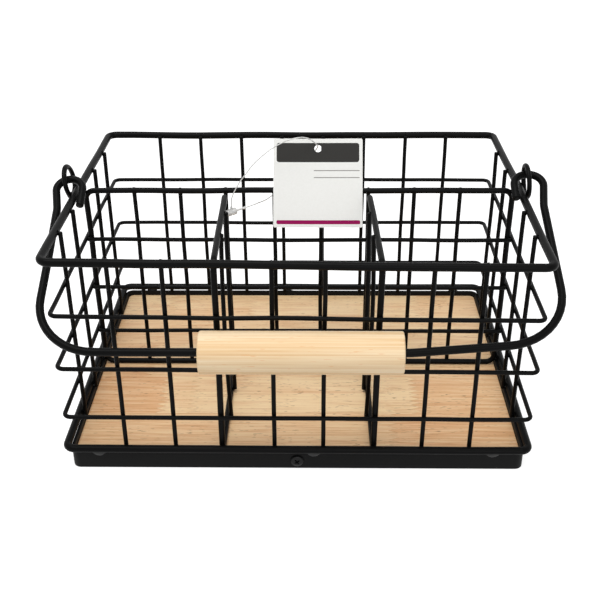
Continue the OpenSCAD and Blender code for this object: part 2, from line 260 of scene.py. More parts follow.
# ---- Base band -------------------------------------------------------------------------------
# A strip of 1 mm steel, bent round the board and powder-coated satin black. Its edges are
# rounded off, and they catch the light as a thin line.
def powder_coat(name, roughness, gloss, dark, light):
    """Satin black powder coat: fine orange peel, and patches a little duller than the rest."""
    coat = Finish(name, Specular_IOR_Level=gloss)
    place = coat.place()
    peel = coat.noise(coat.stretched(place, (1100, 1100, 1100)), 2.0)
    patches = coat.noise(coat.stretched(place, (60, 60, 60)), 3.0)
    coat.set(Base_Color=coat.mix(patches, colour(dark, dark, dark), colour(light, light, light)))
    coat.set(Roughness=roughness + 0.12 * patches + 0.06 * peel)
    coat.set(Normal=coat.bump(peel, 0.2, 0.0001))
    return coat


def piece(name, shell, finish, body, replaces=(), crease=35):
    """A closed mesh as one piece of the caddy, smooth except at edges sharper than crease degrees."""
    verts, faces = shell
    mesh = bpy.data.meshes.new(name)
    mesh.from_pydata([tuple(vert) for vert in verts], [], faces)
    skinned = bmesh.new()
    skinned.from_mesh(mesh)
    bmesh.ops.recalc_face_normals(skinned, faces=skinned.faces)
    skinned.to_mesh(mesh)
    skinned.free()
    mesh.shade_smooth()
    mesh.set_sharp_from_angle(angle=math.radians(crease))
    mesh.materials.append(finish.material)
    made = bpy.data.objects.new(name, mesh)
    bpy.context.scene.collection.objects.link(made)
    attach(made, body)
    if replaces:
        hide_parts(*replaces)
    return made


def rounded_outline(half_x, half_y, radius, steps=10):
    """A rectangle with round corners, anticlockwise, as flat points."""
    points = []
    for turn, (side_x, side_y) in enumerate([(1, 1), (-1, 1), (-1, -1), (1, -1)]):
        for step in range(steps + 1):
            angle = math.radians(90) * (turn + step / steps)
            points.append((side_x * (half_x - radius) + radius * math.cos(angle),
                           side_y * (half_y - radius) + radius * math.sin(angle)))
    return points


def skin(rings, closed):
    """Quads over rings of equally many vertices. Where closed, the last ring meets the first,
    and otherwise the two end rings are capped."""
    count = len(rings[0])
    verts = [vert for ring in rings for vert in ring]
    faces = []
    for index in range(len(rings) if closed else len(rings) - 1):
        here = index * count
        there = (index + 1) % len(rings) * count
        for side in range(count):
            after = (side + 1) % count
            faces.append((here + side, here + after, there + after, there + side))
    if not closed:
        faces.append(tuple(reversed(range(count))))
        faces.append(tuple(range(len(verts) - count, len(verts))))
    return verts, faces


# The strip's thickness, the radius of its edges and the outer radius of its corners
BAND_WALL = 0.001
BAND_EDGE = 0.00022
BAND_EDGE_STEPS = 3
BAND_CORNER = 0.005
# How far the strip is thicker at the sides and at the front and back, and taller
BAND_SIDES = 0.0009
BAND_FACES = 0.0005
BAND_TALLER = 0.0008

band_low, band_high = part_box("base_band")
band_x = band_high.x + BAND_SIDES
band_y = band_high.y + BAND_FACES
inside_x = band_high.x - BAND_WALL
inside_y = band_high.y - BAND_WALL
inside_corner = BAND_CORNER - BAND_WALL
band_foot = band_low.z + BAND_EDGE
band_top = band_high.z + BAND_TALLER - BAND_EDGE
# The four edges in turn, from the outer foot: the face that each is on, that face's corners, the
# way in to the middle of the edge's round, its height and the quarter turn that it starts at
band_rings = []
for half_x, half_y, corner, inwards, level, quarter in [
        (band_x, band_y, BAND_CORNER, BAND_EDGE, band_foot, 2),
        (inside_x, inside_y, inside_corner, -BAND_EDGE, band_foot, 3),
        (inside_x, inside_y, inside_corner, -BAND_EDGE, band_top, 0),
        (band_x, band_y, BAND_CORNER, BAND_EDGE, band_top, 1)]:
    for step in range(BAND_EDGE_STEPS + 1):
        angle = math.radians(90) * (quarter + step / BAND_EDGE_STEPS)
        inset = inwards + BAND_EDGE * math.cos(angle)
        height = level + BAND_EDGE * math.sin(angle)
        outline = rounded_outline(half_x - inset, half_y - inset, corner - inset)
        band_rings.append([Vector((x, y, height)) for x, y in outline])
band_coat = powder_coat("satin_black_band", 0.42, 0.09, 15, 22)
piece("bent_band", skin(band_rings, closed=True), band_coat, "basket", ["base_band"])


# ---- Base screws -----------------------------------------------------------------------------
# Blackened pan-head screws with a cross recess, one through the middle of each side of the band
# into the board. The heads stand proud of the band.
def turned(profile, steps, closed=False):
    """A solid turned about the X axis from (along, radius) points."""
    rings = []
    for along, radius in profile:
        angles = [2 * math.pi * step / steps for step in range(steps)]
        rings.append([Vector((along, radius * math.cos(a), radius * math.sin(a))) for a in angles])
    return skin(rings, closed)


def quarter_round(along, radius, edge, start, steps=5):
    """Profile points of a round edge about (along, radius), from the start angle on, in degrees."""
    turns = [math.radians(start + 90 * step / steps) for step in range(steps + 1)]
    return [(along + edge * math.cos(turn), radius + edge * math.sin(turn)) for turn in turns]


def merged(*shells):
    """Several closed shells as one mesh."""
    verts = []
    faces = []
    for shell_verts, shell_faces in shells:
        faces += [tuple(len(verts) + vert for vert in face) for face in shell_faces]
        verts += shell_verts
    return verts, faces


def placed(shell, matrix):
    """A shell moved to its place."""
    return [matrix @ Vector(vert) for vert in shell[0]], shell[1]


def cut(shell, tool):
    """A shell with a hole of the tool's shape."""
    made = []
    for name, (verts, faces) in [("blank", shell), ("tool", tool)]:
        mesh = bpy.data.meshes.new(name)
        mesh.from_pydata([tuple(vert) for vert in verts], [], faces)
        made.append(bpy.data.objects.new(name, mesh))
        bpy.context.scene.collection.objects.link(made[-1])
    blank, tool = made
    change = blank.modifiers.new("cut", "BOOLEAN")
    change.object = tool
    change.solver = "EXACT"
    depsgraph = bpy.context.evaluated_depsgraph_get()
    result = bpy.data.meshes.new_from_object(blank.evaluated_get(depsgraph))
    verts = [vert.co.copy() for vert in result.vertices]
    faces = [tuple(face.vertices) for face in result.polygons]
    for leftover in made:
        bpy.data.objects.remove(leftover)
    return verts, faces


SCREW_HEAD_R = 0.00365
SCREW_HEAD_H = 0.0019
# The head's straight side up to its dome, and the chamfer round its seat, along and across it
SCREW_HEAD_SIDE = 0.0007
SEAT_ALONG = 0.0001
SEAT_ACROSS = 0.0002
# The dome's steps, and its fullness: 1 is an ellipse, and less is squarer
DOME_STEPS = 8
DOME_STEP_DEGREES = 11
DOME_POWER = 0.8
SCREW_SHANK_R = 0.0015
SCREW_SHANK_L = 0.016
SCREW_TIP_R = 0.0004
SCREW_TIP_L = 0.003
SCREW_RISE = 0.0059
RECESS_ARM = 0.00195
RECESS_HALF_WIDTH = 0.00048
RECESS_DEPTH = 0.0014
# How far the recess's cutter stands out of the head, and its sizes at its two ends as shares
RECESS_PAST = 0.0002
RECESS_FOOT = 0.45
RECESS_MOUTH = 1.06
# The way that each screw faces, in degrees, how far out its head sits, and how far it is turned
SCREW_PLACES = [(0, band_x, 0.4), (90, band_y, 1.1), (180, band_x, 0.9), (270, band_y, 0.62)]

screw_profile = [(-SCREW_SHANK_L, SCREW_TIP_R), (SCREW_TIP_L - SCREW_SHANK_L, SCREW_SHANK_R),
                 (0, SCREW_SHANK_R), (0, SCREW_HEAD_R - SEAT_ACROSS), (SEAT_ALONG, SCREW_HEAD_R),
                 (SCREW_HEAD_SIDE, SCREW_HEAD_R)]
for step in range(1, DOME_STEPS + 1):
    fall = math.radians(DOME_STEP_DEGREES * step)
    rise = (SCREW_HEAD_H - SCREW_HEAD_SIDE) * math.sin(fall) ** DOME_POWER
    screw_profile.append((SCREW_HEAD_SIDE + rise, SCREW_HEAD_R * math.cos(fall) ** DOME_POWER))
cross = []
for turn in range(4):
    for across, along in [(-RECESS_HALF_WIDTH, RECESS_ARM), (RECESS_HALF_WIDTH, RECESS_ARM),
                          (RECESS_HALF_WIDTH, RECESS_HALF_WIDTH)]:
        cross.append(Matrix.Rotation(-math.radians(90) * turn, 3, "X") @ Vector((0, across, along)))
recess = []
for along, share in [(SCREW_HEAD_H - RECESS_DEPTH, RECESS_FOOT),
                     (SCREW_HEAD_H + RECESS_PAST, RECESS_MOUTH)]:
    recess.append([Vector((along, point.y * share, point.z * share)) for point in reversed(cross)])
screw = cut(turned(screw_profile, 40), skin(recess, closed=False))
screws = []
for turn, out, twist in SCREW_PLACES:
    facing = Matrix.Rotation(math.radians(turn), 4, "Z")
    seat = facing @ Matrix.Translation((out, 0, SCREW_RISE))
    screws.append(placed(screw, seat @ Matrix.Rotation(twist, 4, "X")))
blackened = Finish("blackened_screw", Specular_IOR_Level=0.2)
wear = blackened.noise(blackened.stretched(blackened.place(), (900, 900, 900)), 3.0)
blackened.set(Base_Color=blackened.mix(wear, colour(6, 6, 6), colour(20, 20, 20)))
blackened.set(Roughness=0.25 + 0.3 * wear)
blackened.set(Normal=blackened.bump(wear, 0.3, 0.0001))
piece("pan_head_screws", merged(*screws), blackened, "basket", ["base_screws"],
      crease=28)


# ---- Tack welds ------------------------------------------------------------------------------
# Lumps of weld that hold the bottom ring to the outside of the band, coated over with the rest.
# Each is a drip, wide under the wire and drawn in below.
TACK_HALF_WIDTH = 0.0040
TACK_HALF_DEPTH = 0.0017
TACK_HALF_HEIGHT = 0.0020
TACKS_ALONG_FRONT = [-0.116, 0.010, 0.114]
TACKS_ALONG_SIDE = [-0.060, 0.060]
TACK_HEIGHT = 0.0117
TACK_PROUD = 0.0007
DRIP_RINGS = 9
DRIP_SIDES = 18
# The slope of its lowest and highest ring, in degrees
DRIP_POLE = 84
# How much wider it is above than at its middle, how uneven, and how fast the unevenness changes,
# for a metre from drip to drip and for a radius over one drip
DRIP_WIDENING = 0.35
DRIP_UNEVEN = 0.22
DRIP_NOISE_APART = 700
DRIP_NOISE_OVER = 1.7


def lump(at):
    """A rounded drip of metal, uneven all over."""
    shell = []
    for ring in range(DRIP_RINGS):
        rise = math.radians(-DRIP_POLE + 2 * DRIP_POLE * ring / (DRIP_RINGS - 1))
        level = math.cos(rise)
        level_ring = []
        for side in range(DRIP_SIDES):
            angle = 2 * math.pi * side / DRIP_SIDES
            way = Vector((level * math.cos(angle), level * math.sin(angle), math.sin(rise)))
            half_width = TACK_HALF_WIDTH * (1 + DRIP_WIDENING * way.z)
            reach = Vector((half_width * way.x, TACK_HALF_DEPTH * way.y, TACK_HALF_HEIGHT * way.z))
            bumps = noise.noise(DRIP_NOISE_APART * at + DRIP_NOISE_OVER * way)
            level_ring.append(at + reach * (1 + DRIP_UNEVEN * bumps))
        shell.append(level_ring)
    return skin(shell, closed=False)

tacks = []
for turn, out, places in [(0, band_y, TACKS_ALONG_FRONT), (180, band_y, TACKS_ALONG_FRONT),
                          (90, band_x, TACKS_ALONG_SIDE), (270, band_x, TACKS_ALONG_SIDE)]:
    facing = Matrix.Rotation(math.radians(turn), 4, "Z")
    for along in places:
        tacks.append(placed(lump(Vector((along, -out - TACK_PROUD, TACK_HEIGHT))), facing))
# The lumps' coat is painted a lighter grey than the wires' coat. This is a painted highlight for the
# light that they catch under the ring, so that they show there.
painted_light_tack_coat = powder_coat("weld_coat_painted_lighter", 0.5, 0.3, 26, 62)
piece("tack_weld_lumps", merged(*tacks), painted_light_tack_coat, "basket", ["tack_welds"])


# ---- Rings -----------------------------------------------------------------------------------
# Five closed rectangles of round steel wire with bent corners: thick ones at the top and the
# bottom, and three thin ones between them. The whole basket is coated after it is welded.
wire_coat = powder_coat("satin_black_wire", 0.28, 0.06, 6, 11)
UPWARDS = Vector((0, 0, 1))
COAT = 0.0001
WIRE_STEP = 0.012
# The radius that each ring's corners are bent to
RING_BENDS = {"top_rim": 0.0055, "upper_ring": 0.004, "middle_ring": 0.004, "lower_ring": 0.004,
              "bottom_ring": 0.005}
# How the front of the basket is out of true at the rim: how far it has dropped and leans to the
# right in its middle, and how much more it does so for each metre to the right
FRONT_DROP = 0.00085
DROP_SLOPE = 0.0116
FRONT_LEAN = 0.0004
LEAN_SLOPE = 0.003
# How large the waves in the wires are at the rim, how close, and the draw that they come from,
# which would differ from run to run without a seed
WAVE_SIZE = 0.0006
WAVES_A_METRE = 22
WAVE_SEED = 1783
noise.seed_set(WAVE_SEED)


def stepped(corners, closed):
    """A path's points, with more between them wherever they are far apart."""
    path = []
    for start, stop in zip(corners, corners[1:] + corners[:1] if closed else corners[1:]):
        parts = max(1, math.ceil((stop - start).length / WIRE_STEP))
        path += [start.lerp(stop, part / parts) for part in range(parts)]
    return path if closed else path + corners[-1:]


def hoop(corners, radius, flat, sides=18):
    """A wire whose ends meet, bent along corners that all lie square to the direction flat."""
    path = stepped(corners, closed=True)
    rings = []
    for before, here, after in zip(path[-1:] + path[:-1], path, path[1:] + path[:1]):
        out = (after - before).cross(flat).normalized()
        angles = [2 * math.pi * step / sides for step in range(sides)]
        rings.append([here + radius * (out * math.cos(a) + flat * math.sin(a)) for a in angles])
    return skin(rings, closed=True)


def settled(shell, lean=0):
    """A shell of the true basket as it lies in the real one, where welding has pulled the wires
    about a little and the front has dropped towards the right."""
    verts = []
    for vert in shell[0]:
        up = vert.z / rim_level
        share = min(max(-vert.y / inner_y, 0), 1) * up
        slack = Vector((FRONT_LEAN + LEAN_SLOPE * vert.x + lean, 0, -FRONT_DROP - DROP_SLOPE * vert.x))
        wave = WAVE_SIZE * up ** 0.5 * noise.noise_vector(WAVES_A_METRE * vert)
        verts.append(vert + share * slack + wave)
    return verts, shell[1]


rim_level = (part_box("top_rim")[0].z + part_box("top_rim")[1].z) / 2
low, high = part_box("bottom_ring")
inner_x = high.x - (high.z - low.z)
inner_y = high.y - (high.z - low.z)
# Each ring's height and the radius of its wire
ring_wires = []
for node, bend in RING_BENDS.items():
    low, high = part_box(node)
    height = (low.z + high.z) / 2
    ring_r = (high.z - low.z) / 2
    ring_wires.append((height, ring_r))
    outline = rounded_outline(high.x - ring_r, high.y - ring_r, bend)
    ring = hoop([Vector((x, y, height)) for x, y in outline], ring_r + COAT, UPWARDS)
    piece(node + "_wire", settled(ring), wire_coat, "basket", [node])


# ---- Uprights --------------------------------------------------------------------------------
# Straight thin wires, spot-welded to the insides of the five rings. Their ends are cut square
# and barely rounded. The rows stray from their even places by up to two millimetres.
def swept(path, radius, sides=20, edge=0.0003):
    """A bar of round wire along a path, its cut ends rounded off by edge."""
    ways = []
    for index in range(len(path)):
        before = path[max(index - 1, 0)]
        after = path[min(index + 1, len(path) - 1)]
        ways.append((after - before).normalized())
    stations = [(point, way, radius) for point, way in zip(path, ways)]
    ends = []
    for end, inwards in [(0, ways[0]), (-1, -ways[-1])]:
        rounds = []
        for turn in (90, 60, 30, 0):
            angle = math.radians(turn)
            rounds.append((path[end] + inwards * edge * (1 - math.sin(angle)), ways[end],
                           radius - edge * (1 - math.cos(angle))))
        ends.append(rounds)
    stations = ends[0] + stations[1:-1] + ends[1][::-1]
    side = ways[0].orthogonal()
    rings = []
    for point, way, reach in stations:
        side = (side - way * side.dot(way)).normalized()
        beside = way.cross(side)
        angles = [2 * math.pi * step / sides for step in range(sides)]
        rings.append([point + reach * (side * math.cos(a) + beside * math.sin(a)) for a in angles])
    return skin(rings, closed=False)


# Where a weld's sections lie from its one end, -1, to its other, 1, and half its depth
WELD_LEVELS = [-0.95, -0.6, -0.3, -0.08, 0.08, 0.3, 0.6, 0.95]
WELD_DEPTH = 0.0009
# How far it reaches from the crossing: a share of each wire's radius, and a little more
WELD_REACH = 0.9
WELD_PAST = 0.0003
WELD_SIDES = 12
# How fast it thins towards its ends, how hollow it is between its four tips, how uneven, and
# how fast the unevenness changes, for a metre from weld to weld and for a radius over one weld
WELD_THINNING = 0.9
WELD_HOLLOW = 1.3
WELD_UNEVEN = 0.3
WELD_NOISE_APART = 900
WELD_NOISE_OVER = 1.5


def weld(at, across, wire, other, depth=WELD_DEPTH):
    """A spot weld where an upright wire touches another that crosses it: a little metal squeezed
    out into the four corners between them. The wires' middles lie along across."""
    beside = across.cross(UPWARDS)
    rings = []
    for share in WELD_LEVELS:
        ring = []
        for step in range(WELD_SIDES):
            angle = 2 * math.pi * step / WELD_SIDES
            way = Vector((math.cos(angle), math.sin(angle), 0))
            size = (1 - abs(share)) ** WELD_THINNING / (abs(way.x) + abs(way.y)) ** WELD_HOLLOW
            bumps = noise.noise(WELD_NOISE_APART * at + WELD_NOISE_OVER * way)
            size *= 1 + WELD_UNEVEN * bumps
            up = UPWARDS * way.x * (WELD_REACH * other + WELD_PAST)
            out = beside * way.y * (WELD_REACH * wire + WELD_PAST)
            ring.append(at + across * depth * share + (up + out) * size)
        rings.append(ring)
    return skin(rings, closed=False)


UPRIGHT_PITCH = 0.0287
SIDE_PITCH = 0.0317
GRID_R = 0.0012
# How far each end of a wire strays besides, by chance
STRAY_LEAN = 0.00015
STRAY_SEED = 11
ALONG_X = Vector((1, 0, 0))
ALONG_Y = Vector((0, 1, 0))
FULL_ROW = [-3.5, -2.5, -1.5, -0.5, 0.5, 1.5, 2.5, 3.5]
# How far each wire strays, in millimetres
FRONT_ROW = {-3.5: 0.3, -2.5: 0.65, -0.5: 1.05, 0.5: 0.9, 2.5: 0.95, 3.5: 0.05}
BACK_ROW = dict(zip(FULL_ROW, [1.7, 1.7, 1.5, 1.6, 1.7, 1.3, 1.8, 1.3]))
SIDE_ROW = {-2: 0.3, -1: -0.2, 1: 0.2, 2: -0.1}

chance = random.Random(STRAY_SEED)
for node, row, pitch, along in [("front_uprights", FRONT_ROW, UPRIGHT_PITCH, ALONG_X),
                                ("back_uprights", BACK_ROW, UPRIGHT_PITCH, ALONG_X),
                                ("left_uprights", SIDE_ROW, SIDE_PITCH, ALONG_Y),
                                ("right_uprights", SIDE_ROW, SIDE_PITCH, ALONG_Y)]:
    low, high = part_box(node)
    middle = (low + high) / 2
    across = ALONG_Y if along == ALONG_X else ALONG_X
    outwards = across * math.copysign(1, middle.dot(across))
    line = outwards * abs(middle.dot(across))
    shells = []
    for step, stray in row.items():
        spot = step * pitch + stray / 1000
        foot = line + along * (spot + chance.uniform(-STRAY_LEAN, STRAY_LEAN))
        tip = line + along * (spot + chance.uniform(-STRAY_LEAN, STRAY_LEAN))
        foot.z = low.z
        tip.z = high.z
        shells.append(swept(stepped([foot, tip], closed=False), GRID_R + COAT))
        for height, ring_r in ring_wires:
            crossing = foot.lerp(tip, (height - low.z) / (high.z - low.z)) + outwards * GRID_R
            shells.append(weld(crossing, outwards, GRID_R, ring_r))
    piece(node + "_welded", settled(merged(*shells)), wire_coat, "basket", [node])


# ---- Dividers --------------------------------------------------------------------------------
# Three closed frames of medium wire that stand on the board: a long one across the basket and
# two short ones in front of it, with thin uprights on their faces and thin rails along the long
# one. They are welded to the rings and to each other before the coat goes on.
FRAME_R = 0.001675
FRAME_BEND = 0.0055
# How far each of the long divider's uprights strays from its even place, in millimetres
LONG_ROW = dict(zip(FULL_ROW, [-1.3, -1.3, -2.2, -0.6, -0.3, 0.3, -0.3, -0.6]))
# How far the front of each cross frame leans to the right of the rest of the basket, and how far
# both frames' back legs lean to the left at the rim
CROSS_LEANS = {"left": 0.0003, "right": 0.0006}
BACK_LEG_LEAN = 0.0011
# The cross frames' uprights stand a little behind the thirds, and bow out to the sides: by so much
# at the foot, and by so much more for the height and for its square, each as a share of the whole.
# The front ones bow the most.
CROSS_ROW_BACK = 0.0025
BOW_AT_FOOT = 0.0003
BOW_RISE = 0.0053
BOW_FALL = 0.0046
BACK_BOW_SHARE = 0.4
BOW_STEPS = 12
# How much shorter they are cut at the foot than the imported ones
CUT_SHORT = 0.0008

frame_low, frame_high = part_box("long_divider_frame")
long_y = (frame_low.y + frame_high.y) / 2
bar_height = frame_high.z - FRAME_R
sill_height = frame_low.z + FRAME_R
half_rise = (bar_height - sill_height) / 2
frame_middle = (bar_height + sill_height) / 2
outline = rounded_outline(frame_high.x - FRAME_R, half_rise, FRAME_BEND)
bent = hoop([Vector((x, long_y, frame_middle + rise)) for x, rise in outline], FRAME_R + COAT, ALONG_Y)
piece("long_divider_bent", settled(bent), wire_coat, "basket", ["long_divider_frame"])

rail_low, rail_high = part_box("long_divider_rails")
rail_y = (rail_low.y + rail_high.y) / 2
thin_rings = ring_wires[1:4]
shells = []
for height, _ in thin_rings:
    ends = [Vector((end.x, rail_y, height)) for end in (rail_low, rail_high)]
    shells.append(swept(stepped(ends, closed=False), GRID_R + COAT))
piece("long_divider_rail_wires", settled(merged(*shells)), wire_coat, "basket",
      ["long_divider_rails"])

low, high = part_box("long_divider_uprights")
shells = []
for step, stray in LONG_ROW.items():
    x = step * UPRIGHT_PITCH + stray / 1000
    y = (low.y + high.y) / 2
    ends = [Vector((x, y, low.z)), Vector((x, y, high.z))]
    shells.append(swept(stepped(ends, closed=False), GRID_R + COAT))
    for height in (sill_height, bar_height):
        shells.append(weld(Vector((x, low.y, height)), -ALONG_Y, GRID_R, FRAME_R))
piece("long_divider_wires", settled(merged(*shells)), wire_coat, "basket",
      ["long_divider_uprights"])


def leant_back(shell, front_y, depth):
    """A shell of a cross divider with its back leg leaning to the left."""
    verts = []
    for vert in shell[0]:
        share = min(max((vert.y - front_y) / depth, 0), 1) * vert.z / rim_level
        verts.append(vert - BACK_LEG_LEAN * share * ALONG_X)
    return verts, shell[1]


for side, lean in CROSS_LEANS.items():
    low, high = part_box(side + "_cross_frame")
    front_y = low.y
    depth = high.y - low.y
    x = (low.x + high.x) / 2
    y = (low.y + high.y) / 2
    outline = rounded_outline(depth / 2 - FRAME_R, half_rise, FRAME_BEND)
    bent = hoop([Vector((x, y + out, frame_middle + rise)) for out, rise in outline],
                FRAME_R + COAT, ALONG_X)
    spots = [weld(Vector((x, front_y, height)), -ALONG_Y, FRAME_R, ring_r)
             for height, ring_r in ring_wires]
    leant = leant_back(merged(bent, *spots), front_y, depth)
    piece(side + "_cross_bent", settled(leant, lean), wire_coat, "basket",
          [side + "_cross_frame"])
    low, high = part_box(side + "_cross_uprights")
    x = (low.x + high.x) / 2
    outwards = ALONG_X * math.copysign(1, x)
    shells = []
    for row_y, share in ((low.y + GRID_R, 1), (high.y - GRID_R, BACK_BOW_SHARE)):
        y = row_y + CROSS_ROW_BACK
        bowed = []
        for step in range(BOW_STEPS + 1):
            up = step / BOW_STEPS
            bow = BOW_AT_FOOT + share * (BOW_RISE * up - BOW_FALL * up ** 2)
            foot = low.z + CUT_SHORT
            bowed.append(Vector((x, y, foot + (high.z - foot) * up)) + outwards * bow)
        shells.append(swept(bowed, GRID_R + COAT))
        for height in (sill_height, bar_height):
            shells.append(weld(Vector((x, y, height)) + outwards * GRID_R, outwards, GRID_R, FRAME_R))
    leant = leant_back(merged(*shells), front_y, depth)
    piece(side + "_cross_wires", settled(leant, lean), wire_coat, "basket",
          [side + "_cross_uprights"])

# The other welds of the frames: the long frame's legs and the rails' ends to the side rings, and
# the rails to those legs and to the cross frames' back legs
spots = []
for side in (-1, 1):
    outwards = side * ALONG_X
    for height, ring_r in ring_wires:
        spots.append(weld(Vector((side * inner_x, long_y, height)), outwards, FRAME_R, ring_r))
    for height, ring_r in thin_rings:
        spots.append(weld(Vector((side * inner_x, rail_y, height)), outwards, GRID_R, ring_r))
        leg_face = Vector((side * (inner_x - FRAME_R), rail_high.y, height))
        spots.append(weld(leg_face, ALONG_Y, GRID_R, FRAME_R))
for node in ["left_cross_frame", "right_cross_frame"]:
    low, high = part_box(node)
    x = (low.x + high.x) / 2
    for height, _ in thin_rings:
        leg_x = x - BACK_LEG_LEAN * height / rim_level
        spots.append(weld(Vector((leg_x, high.y, height)), ALONG_Y, FRAME_R, GRID_R))
piece("divider_welds", settled(merged(*spots)), wire_coat, "basket")


# ---- Eyelets ---------------------------------------------------------------------------------
# Two rings of wire on end, welded to the outside of the rim at the middle of each short side.
# The bail's hooks go through them. The left one leans out a little and the right one leans in.
EYELET_STEPS = 48
EYELET_SIDES = 16
EYELET_WELD_DEPTH = 0.0014
# Which side each is on, and how far its top leans outwards
EYELETS = [(-1, "left_eyelet", 0.0026), (1, "right_eyelet", -0.0012)]

for side, node, lean_out in EYELETS:
    low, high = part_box(node)
    middle = (low + high) / 2
    wire_r = (high.x - low.x) / 2
    thick = wire_r + COAT
    radius = (high.z - low.z) / 2 - wire_r
    rim_height, rim_r = ring_wires[0]
    rings = []
    for step in range(EYELET_STEPS):
        outwards = Matrix.Rotation(2 * math.pi * step / EYELET_STEPS, 3, "X") @ UPWARDS
        ring = []
        for turn in range(EYELET_SIDES):
            angle = 2 * math.pi * turn / EYELET_SIDES
            out = outwards * (radius + thick * math.cos(angle))
            spot = middle + out + ALONG_X * thick * math.sin(angle)
            leaning = max(0, spot.z - rim_height) / (high.z - rim_height)
            ring.append(spot + side * ALONG_X * lean_out * leaning)
        rings.append(ring)
    spread = math.sqrt(radius ** 2 - (middle.z - rim_height) ** 2)
    spots = [weld(Vector((middle.x - side * wire_r, end * spread, rim_height)), side * ALONG_X,
                  wire_r, rim_r, EYELET_WELD_DEPTH) for end in (-1, 1)]
    welded = merged(skin(rings, closed=True), *spots)
    piece(node + "_ring", settled(welded), wire_coat, "basket", [node])


# ---- Bail ------------------------------------------------------------------------------------
# One thick steel wire, bent by hand on a jig: a hook at each end that hangs in its eyelet, two
# arms that bow a little, and a straight run through the grip. It rests against the front.
BEND_STEP_DEGREES = 8


def rounded_path(corners):
    """A path through corner points, each with the radius that it is bent to."""
    path = [corners[0][0]]
    for (before, _), (corner, radius), (after, _) in zip(corners, corners[1:], corners[2:]):
        back = (before - corner).normalized()
        on = (after - corner).normalized()
        opening = back.angle(on)
        middle = corner + (back + on).normalized() * (radius / math.sin(opening / 2))
        start = corner + back * (radius / math.tan(opening / 2)) - middle
        end = corner + on * (radius / math.tan(opening / 2)) - middle
        steps = max(2, math.ceil((180 - math.degrees(opening)) / BEND_STEP_DEGREES))
        turns = [start.normalized().slerp(end.normalized(), step / steps) for step in range(steps + 1)]
        path += [middle + radius * turn for turn in turns]
    path.append(corners[-1][0])
    return path


BAIL_R = 0.00225
BAIL_END_EDGE = 0.0005
# The corners from the left hook's end to the right one's, in millimetres: how far to the right,
# how far below the hinge line in the bail's own plane, and the radius of the bend
BAIL_CORNERS = [
    (-130.3, 22.8, 0), (-130.3, 2.0, 8.0), (-147.6, 2.0, 7.9), (-143.4, 25, 16), (-143.0, 62, 60),
    (-143.0, 123.67, 34), (62, 123.67, 60), (148.8, 116.0, 36), (145.9, 22, 15), (148.9, -2, 8.1),
    (130.3, -2, 8.3), (130.3, 17, 0),
]

hinges = {joint["name"]: Vector(joint["pos_m"]) for joint in frame["joints"]}
hinge_line = hinges["bail_swing"]
grip_middle = hinges["grip_spin"]
downwards = Vector((0, grip_middle.y, grip_middle.z - hinge_line.z)).normalized()
corners = [(hinge_line + (ALONG_X * right + downwards * below) / 1000, bend / 1000)
           for right, below, bend in BAIL_CORNERS]
piece("bent_bail", swept(rounded_path(corners), BAIL_R + COAT, sides=32, edge=BAIL_END_EDGE),
      wire_coat, "bail", ["bail_wire"])


# ---- Grip ------------------------------------------------------------------------------------
# A cylinder of pale straight-grained wood, turned and sanded but not lacquered, with softened
# ends and a bore that the bail's wire runs through. The grain follows the bore.
GRIP_HALF = 0.055
GRIP_R = 0.01175
GRIP_EDGE = 0.001
GRIP_BORE_R = 0.00245
GRIP_COUNTERSINK = 0.0004
# Where the vertices lie along it between its ends, as shares of its half length
GRIP_BELTS = (0.6, 0.2, -0.2, -0.6)

profile = quarter_round(GRIP_HALF - GRIP_EDGE, GRIP_R - GRIP_EDGE, GRIP_EDGE, 0)
profile += [(GRIP_HALF * share, GRIP_R) for share in GRIP_BELTS]
profile += quarter_round(GRIP_EDGE - GRIP_HALF, GRIP_R - GRIP_EDGE, GRIP_EDGE, 90)
profile += [(-GRIP_HALF, GRIP_BORE_R + GRIP_COUNTERSINK), (GRIP_COUNTERSINK - GRIP_HALF, GRIP_BORE_R)]
profile += [(GRIP_HALF - GRIP_COUNTERSINK, GRIP_BORE_R), (GRIP_HALF, GRIP_BORE_R + GRIP_COUNTERSINK)]
grip_shell = placed(turned(profile, 64, closed=True), Matrix.Translation(grip_middle))

pale = Finish("sanded_pale_wood", Roughness=0.5)
place = pale.place()
bands = pale.noise(pale.stretched(place, (7, 240, 240)), 3.0)
lines = pale.noise(pale.stretched(place, (9, 1300, 1300)), 3.0, 0.6)
flecks = pale.noise(pale.stretched(place, (120, 1100, 1100)), 1.0).between(0.68, 0.76)
wood = pale.mix(bands.between(0.3, 0.7), colour(248, 222, 182), colour(236, 200, 150))
wood = pale.mix(0.55 * lines.between(0.45, 0.75), wood, colour(255, 236, 206))
wood = pale.mix(0.60 * (1 - lines).between(0.48, 0.75), wood, colour(222, 176, 124))
wood = pale.mix(0.6 * flecks, wood, colour(232, 168, 104))
pale.set(Base_Color=wood, Roughness=0.48 + 0.1 * lines)
pale.set(Normal=pale.bump(lines, 0.15, 0.0002))
piece("turned_grip", grip_shell, pale, "grip", ["grip"])


# ---- Swing tag -------------------------------------------------------------------------------
# A square card on a nylon loop, leaning back against the long divider's top bar. It is white
# with a dark bar near its top, two thin grey rules and a magenta stripe along its foot.
CARD_WIDTH = 0.0545
CARD_HEIGHT = 0.0545
CARD_THICKNESS = 0.0004
CARD_CORNER = 0.001
CARD_LEAN = math.radians(31)
# The foot of the card's back beside the middle of the divider's top bar: how far to the right, up
# the card's lean, and off to the front
CARD_FROM_MIDDLE = 0.012
CARD_FOOT = -0.023
CARD_OFF_BAR = 0.001975
CARD_CURL = 0.0005
HOLE_R = 0.00225
HOLE_DROP = 0.006
# The most between two vertices on the card's edge, and where the rings of vertices lie from the
# hole, 0, to that edge, 1
CARD_MESH = 0.004
WEB_SHARES = [0, 0.03, 0.12, 0.3, 0.5, 0.7, 0.87, 0.97, 1]
